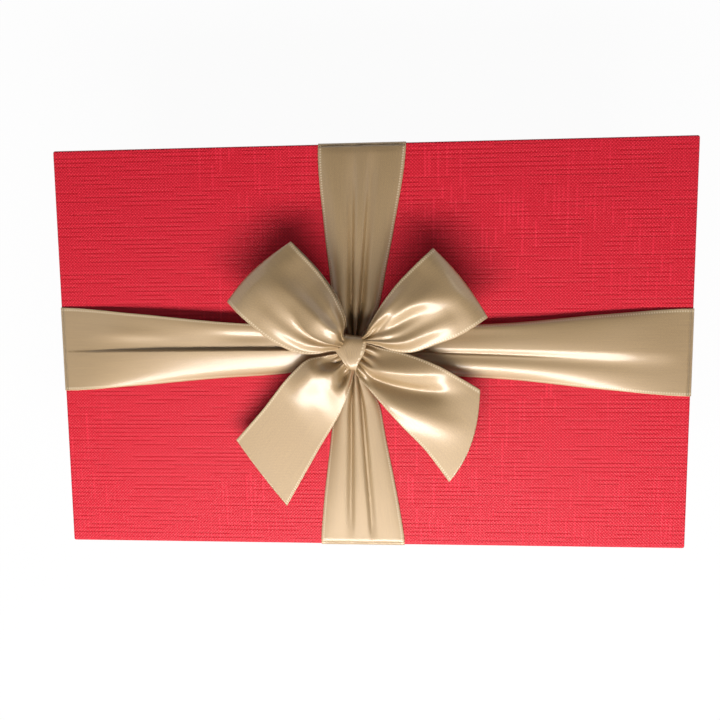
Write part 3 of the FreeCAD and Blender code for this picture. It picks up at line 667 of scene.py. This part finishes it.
# Short band: across runs from the left edge to the right edge
front_half = half_band(
    outward=(0, -1), end_shift=-3.3, half=LID_HALF_WIDTH,
    widths=[(0, 7.5), (12, 8), (18, 14), (26, 20.5), (38, 24), (74, 35), (89, 38)],
    deck=[(0, 1.2), (12, 2.4), (26, 1.7), (45, 1.2), (70, 1.1), (87, 1.0), (89, 0.3)],
    lift=[(0, 0.9), (8, 0.6), (16, 0), (89, 0)],
    folds=[(0.38, 0.36, [(0, -1.0), (0.2, -2.2), (0.5, -1.4), (0.85, -0.9), (1, -0.15)], 0.05, 0.04),
           (0.60, 0.62, [(0, -1.0), (0.2, -2.2), (0.6, -1.4), (0.9, -0.9), (1, -0.15)], 0.03, 0.06),
           (0.49, 0.51, [(0, 0.4), (0.2, 0.7), (0.6, 0.6), (1, 0.2)], 0.08, 0.08),
           (0.20, 0.22, [(0, 0.2), (0.3, 0.6), (0.7, 0.5), (1, 0.1)], 0.12, 0.12)])
back_half = half_band(
    outward=(0, 1), end_shift=-1.9, half=LID_HALF_WIDTH,
    widths=[(0, 7.5), (7, 8.5), (12, 14), (21, 20.5), (36, 25), (52, 30), (89, 38)],
    deck=[(0, 1.2), (8, 2.6), (22, 3.2), (45, 2.6), (70, 1.9), (85, 1.2), (89, 0.4)],
    lift=[(0, 0.9), (8, 0.6), (16, 0), (89, 0)],
    folds=[(0.40, 0.40, [(0, -1.0), (0.15, -2.8), (0.45, -1.9), (0.8, -1.2), (1, -0.2)], 0.07, 0.04),
           (0.60, 0.62, [(0, -1.0), (0.15, -2.8), (0.5, -1.9), (0.85, -1.2), (1, -0.2)], 0.04, 0.08),
           (0.50, 0.52, [(0, 0.4), (0.2, 0.7), (0.6, 0.7), (1, 0.2)], 0.08, 0.08),
           (0.20, 0.22, [(0, 0.2), (0.3, 0.8), (0.7, 0.6), (1, 0.1)], 0.10, 0.12)])
whole_band("short_ribbon_band", front_half, back_half, flip=True)

# Loops and tails: edge curves are (x, y) places; a side profile is (share of the reach, height)

# Left loop: across runs from the edge by the left tail to the edge by the back band
left_loop = loop_surface(
    low_edge=[(-5, -3), (-14.3, 1.0), (-20.8, 0.1), (-27.3, 0.5), (-37.3, 4.7), (-47.7, 12.5),
              (-58.4, 22.2)],
    high_edge=[(-4, 3), (-9.6, 7.2), (-8.8, 12.2), (-11.6, 21.6), (-18.7, 33.1), (-30.8, 46.9)],
    low_line=[(0, 10.9), (0.08, 12.0), (0.18, 16.8), (0.3, 19.8), (0.5, 21.6), (0.75, 22.0),
              (0.93, 20.4), (1.0, 17.2), (0.95, 14.0), (0.8, 11.2), (0.55, 9.8), (0.3, 9.6), (0.12, 9.6),
              (0, 9.6)],
    middle_line=[(0, 11), (0.08, 12.4), (0.18, 19.0), (0.3, 21.6), (0.5, 23.2), (0.75, 23.4),
                 (0.93, 21.4), (1.0, 17.5), (0.95, 13.5), (0.8, 10.8), (0.55, 9.8), (0.3, 9.8),
                 (0.12, 9.6), (0, 9.6)],
    high_line=[(0, 11), (0.08, 12.2), (0.18, 15.6), (0.3, 16.4), (0.5, 16.6), (0.75, 17.4), (0.93, 18.2),
               (1.0, 17.2), (0.95, 14.2), (0.8, 11.5), (0.55, 10), (0.3, 9.8), (0.12, 9.6), (0, 9.6)],
    bulge=2.0,
    folds=[(0.34, 0.38, [(0.08, 0), (0.2, -0.8), (0.35, -0.8), (0.55, 0)], 0.16, 0.05),
           (0.80, 0.76, [(0.10, 0), (0.16, -1.6), (0.22, 0)], 0.12, 0.10),
           (0.74, 0.72, [(0.18, 0), (0.25, 1.0), (0.36, 0)], 0.10, 0.12),
           (0.64, 0.54, [(0.2, 0), (0.45, 1.3), (0.75, 1.6), (0.97, 0)], 0.17, 0.11),
           (0.88, 0.86, [(0.4, 0), (0.68, -0.8), (0.9, 0)], 0.14, 0.14)],
    steps=[(0.40, 0.46, [(0.06, 0), (0.2, 2.0), (0.4, 1.8), (0.66, 0)], 0.03)])

# Right loop: across runs from the edge by the right tail to the edge by the back band
right_loop = loop_surface(
    low_edge=[(-7, -3), (-0.8, 4.0), (4.7, 3.1), (11.0, 1.1), (17.3, 0.3), (29.8, 4.0), (37.5, 6.8),
              (50.5, 14.6)],
    high_edge=[(-8, 3), (-1.0, 7.3), (2.7, 13.7), (6.0, 19.2), (11.4, 26.7), (22.0, 37.8), (28.0, 43.3)],
    low_line=[(0, 10.9), (0.1, 11.6), (0.22, 14.2), (0.4, 17.0), (0.6, 18.8), (0.8, 19.8), (0.94, 19.2),
              (1.0, 17.2), (0.95, 14.0), (0.8, 11.4), (0.55, 10), (0.3, 9.8), (0.12, 9.6), (0, 9.6)],
    middle_line=[(0, 11), (0.1, 12.0), (0.2, 17.0), (0.35, 20.4), (0.55, 22.2), (0.8, 22.6),
                 (0.95, 20.8), (1.0, 17.5), (0.95, 13.5), (0.8, 11), (0.55, 10), (0.3, 9.8), (0.12, 9.6),
                 (0, 9.6)],
    high_line=[(0, 11), (0.1, 12.2), (0.2, 16.4), (0.35, 19.0), (0.55, 20.2), (0.8, 20.6), (0.94, 20.0),
               (1.0, 17.6), (0.95, 14.5), (0.8, 11.5), (0.55, 10), (0.3, 9.8), (0.12, 9.6), (0, 9.6)],
    bulge=1.5,
    folds=[(0.46, 1.05, [(0.08, 0), (0.18, -2.0), (0.3, -1.8), (0.5, 0)], 0.10, 0.08),
           (1.10, 0.42, [(0.15, 0), (0.35, 2.2), (0.6, 2.6), (0.8, 1.6), (0.97, 0)], 0.15, 0.22),
           (0.80, 0.24, [(0.25, 0), (0.5, -0.7), (0.8, -0.4), (0.95, 0)], 0.18, 0.12),
           (0.26, 0.20, [(0.06, 0), (0.2, 2.0), (0.4, 1.8), (0.7, 0.3), (0.9, 0)], 0.12, 0.12)])

# Left tail: across runs from its left edge to the edge by the front band
left_tail = tail_surface(
    low_edge=[(-5, 2), (-13.7, -0.9), (-17.7, -1.6), (-25.7, -3.1), (-31.5, -7.9), (-47.2, -26.3),
              (-58.9, -39.4)],
    high_edge=[(-5, -3), (-5.9, -8.2), (-7.1, -14.6), (-10.1, -22.8), (-22.0, -43.7), (-36.8, -69.5)],
    low_line=[(0, 8.2), (0.15, 8.8), (0.3, 10.6), (0.4, 10.2), (0.55, 9.0), (0.75, 8.0), (1, 7.4)],
    middle_line=[(0, 8.2), (0.12, 8.8), (0.24, 11.6), (0.32, 11.2), (0.45, 9.2), (0.6, 7.9), (0.8, 7.3),
                 (1, 7.0)],
    high_line=[(0, 8.2), (0.1, 8.8), (0.2, 9.4), (0.34, 8.4), (0.5, 7.6), (1, 6.8)],
    bulge=0.5,
    folds=[(0.24, 0.10, [(0.08, 0), (0.2, -3.2), (0.33, 0)], 0.12, 0.12),
           (0.66, 0.76, [(0.06, 0), (0.17, -3.2), (0.29, 0)], 0.11, 0.10),
           (0.24, 0.22, [(0.14, 0), (0.29, 2.6), (0.40, 1.8), (0.58, 0)], 0.2, 0.26)])

# Right tail: across runs from its front edge to the edge by the right loop
right_tail = tail_surface(
    low_edge=[(-7, -3), (-5.1, -9.0), (0.5, -16.3), (7.6, -24.5), (14.8, -32.7), (24.4, -42.8),
              (35.4, -57.6)],
    high_edge=[(-7, 2), (-0.8, 3.2), (6.3, 1.6), (14.2, 0.0), (22.1, -2.4), (29.9, -5.6), (37.8, -10.1),
               (48.3, -16.4)],
    low_line=[(0, 8.2), (0.2, 8.8), (0.5, 8.8), (0.8, 8.4), (1, 8.2)],
    middle_line=[(0, 8.2), (0.12, 9.0), (0.35, 10.8), (0.6, 10.2), (1, 9.6)],
    high_line=[(0, 8.2), (0.12, 9.2), (0.3, 10.8), (0.5, 11.2), (0.75, 10.6), (1, 10.0)],
    bulge=4.0,
    folds=[(0.30, 1.26, [(0.08, 0), (0.3, 2.4), (0.55, 2.2), (0.8, 0.3), (0.95, 0)], 0.11, 0.20),
           (0.06, 0.96, [(0.08, 0), (0.3, -3.2), (0.6, -3.0), (0.8, -0.5), (0.95, 0)], 0.13, 0.09),
           (-0.20, 0.58, [(0.25, 0), (0.45, 1.4), (0.75, 1.0), (1, 0.1)], 0.16, 0.14)])

# Pieces of the bow: a node, its surface, and whether its faces are turned over
for node, (points, flat, length), flip in (
        ("bow_left_loop", left_loop, False), ("bow_right_loop", right_loop, True),
        ("bow_left_tail", left_tail, False), ("bow_right_tail", right_tail, True)):
    ribbon_piece(node, points, flat, flip=flip)

# Knot and the tie under it
points, flat, length = hoop_surface(
    (-5.6, 0.0), -98, (7.0, 7.6),
    widths=[(-1, 10.0), (-0.2, 13.0), (0.5, 7.4), (1, 3.4)],
    shifts=[(-1, 0.2), (-0.2, -1.7), (0.5, -0.8), (1, 0.4)],
    low=6.8, high=14.2, swell=0.7,
    folds=[(0.30, 0.30, [(0, 0.4), (1, 0.4)], 0.16, 0.2), (0.06, 0.06, [(0, 0.3), (1, 0.3)], 0.06, 0.06)])
ribbon_piece("bow_knot", points, flat, wrap=True)
points, flat, length = hoop_surface(
    (-5.0, 0.0), -45, (13.0, 13.0), widths=[(-1, 4.6), (1, 4.6)], shifts=[(-1, 0), (1, 0)],
    low=0.3, high=6.4, swell=0.2, folds=[(0.5, 0.5, [(0, 0.3), (1, 0.3)], 0.2, 0.2)])
ribbon_piece("ribbon_tie", points, flat,
             wrap=True)

# Finishes of the box's own parts
BOX_FINISHES = (
    (LINEN, ("lid_wrap", "base_wrap", "base_underside_sheet")),
    (liner_paper(), ("lid_liner", "base_wall_liner", "base_floor_liner")),
    (grey_board(), ("lid_board", "base_board")),
    (kraft_tape(), ("lid_corner_stays", "base_corner_stays")),
    (sticky_tape(), ("ribbon_end_tapes",)),
)
for material, nodes in BOX_FINISHES:
    for node in nodes:
        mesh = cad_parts[node].data
        mesh.materials.clear()
        mesh.materials.append(material)


# Floor, light and camera
def pale_floor():
    """A white floor that keeps the object's shadow: for the camera, most of it is plain white."""
    finish = Finish("pale_floor")
    seen, glossy, through = finish.node(
        "LightPath", None, None, ("Is Camera Ray", "Is Glossy Ray", "Is Transmission Ray"))
    lit = finish.node("BsdfDiffuse", None, {"Color": FLOOR_COLOUR})
    white = finish.node("Emission", None, {"Color": (1, 1, 1), "Strength": 1.0})
    share = finish.node("Math", {"operation": "ADD", "use_clamp": True}, {0: seen, 1: glossy + through})
    return finish.end(finish.node("MixShader", None, {0: share * FLOOR_SHOWN_WHITE, 1: lit, 2: white}))


def studio_sweep(flat_radius, radius, rise, rings=40, spokes=96):
    """A floor that sweeps up into a backdrop all round: flat to a radius, then rising with the square of
    the distance past it."""
    out = np.linspace(0, radius, rings)[:, None]
    turn = np.linspace(0, 2 * math.pi, spokes, endpoint=False)[None, :]
    up = rise * np.square(np.clip((out - flat_radius) / (radius - flat_radius), 0, 1)) + 0 * turn
    points = np.stack([out * np.cos(turn), out * np.sin(turn), up], axis=-1)
    ring, spoke = np.meshgrid(np.arange(rings - 1), np.arange(spokes), indexing="ij")
    after = (spoke + 1) % spokes
    faces = np.stack([ring * spokes + spoke, (ring + 1) * spokes + spoke, (ring + 1) * spokes + after,
                      ring * spokes + after], axis=-1).reshape(-1, 4)
    mesh = bpy.data.meshes.new("floor")
    mesh.from_pydata(points.reshape(-1, 3), [], faces)
    mesh.polygons.foreach_set("use_smooth", np.ones(len(faces), bool))
    mesh.materials.append(pale_floor())
    return bpy.data.objects.new("floor", mesh)


def soft_box(name, place, width, height, power, colour):
    """A rectangular studio lamp at a place, aimed at the lid."""
    data = bpy.data.lights.new(name, "AREA")
    data.shape = "RECTANGLE"
    data.size = width
    data.size_y = height
    data.energy = power
    data.color = colour
    lamp = bpy.data.objects.new(name, data)
    bpy.context.collection.objects.link(lamp)
    lamp.location = place
    lamp.rotation_euler = (Vector(LAMP_TARGET) - Vector(place)).to_track_quat("-Z", "Y").to_euler()


def room_light():
    """The light of the room: from the front wall to the back wall, and up the walls to the ceiling."""
    world = bpy.data.worlds.new("studio")
    bpy.context.scene.world = world
    world.use_nodes = True
    room = Nodes(world.node_tree)
    _, depth, height = room.split(room.place("Generated"))
    walls = room.blend(depth.step(-0.6, 0.6), FRONT_WALL_LIGHT, BACK_WALL_LIGHT)
    sky = room.node("Background", None, {"Color": room.blend(height.step(0.0, 0.9), walls, CEILING_LIGHT)})
    room.node("OutputWorld", None, {"Surface": sky}, ())


def photograph_camera():
    """A camera at its place, turned to its target with the lid's back edge up, then rolled."""
    lens = bpy.data.cameras.new("camera")
    lens.lens = LENS
    lens.sensor_width = SENSOR
    lens.clip_start = NEAR_CLIP
    camera = bpy.data.objects.new("camera", lens)
    bpy.context.collection.objects.link(camera)
    place = (Vector(CAMERA_PLACE) + Vector((0, 0, LID_TOP))) * MM
    target = (Vector(CAMERA_TARGET) + Vector((0, 0, LID_TOP))) * MM
    backward = (place - target).normalized()
    right = Vector((0, 1, 0)).cross(backward).normalized()
    turn = Matrix((right, backward.cross(right), backward)).transposed().to_4x4()
    roll = Matrix.Rotation(math.radians(CAMERA_ROLL), 4, "Z")
    camera.matrix_world = Matrix.Translation(place) @ turn @ roll
    bpy.context.scene.camera = camera


floor = studio_sweep(FLOOR_FLAT_RADIUS, FLOOR_RADIUS, FLOOR_RISE)
bpy.context.collection.objects.link(floor)
for lamp in LAMPS:
    soft_box(*lamp)
room_light()
photograph_camera()
bpy.context.scene.view_settings.view_transform = "Standard"
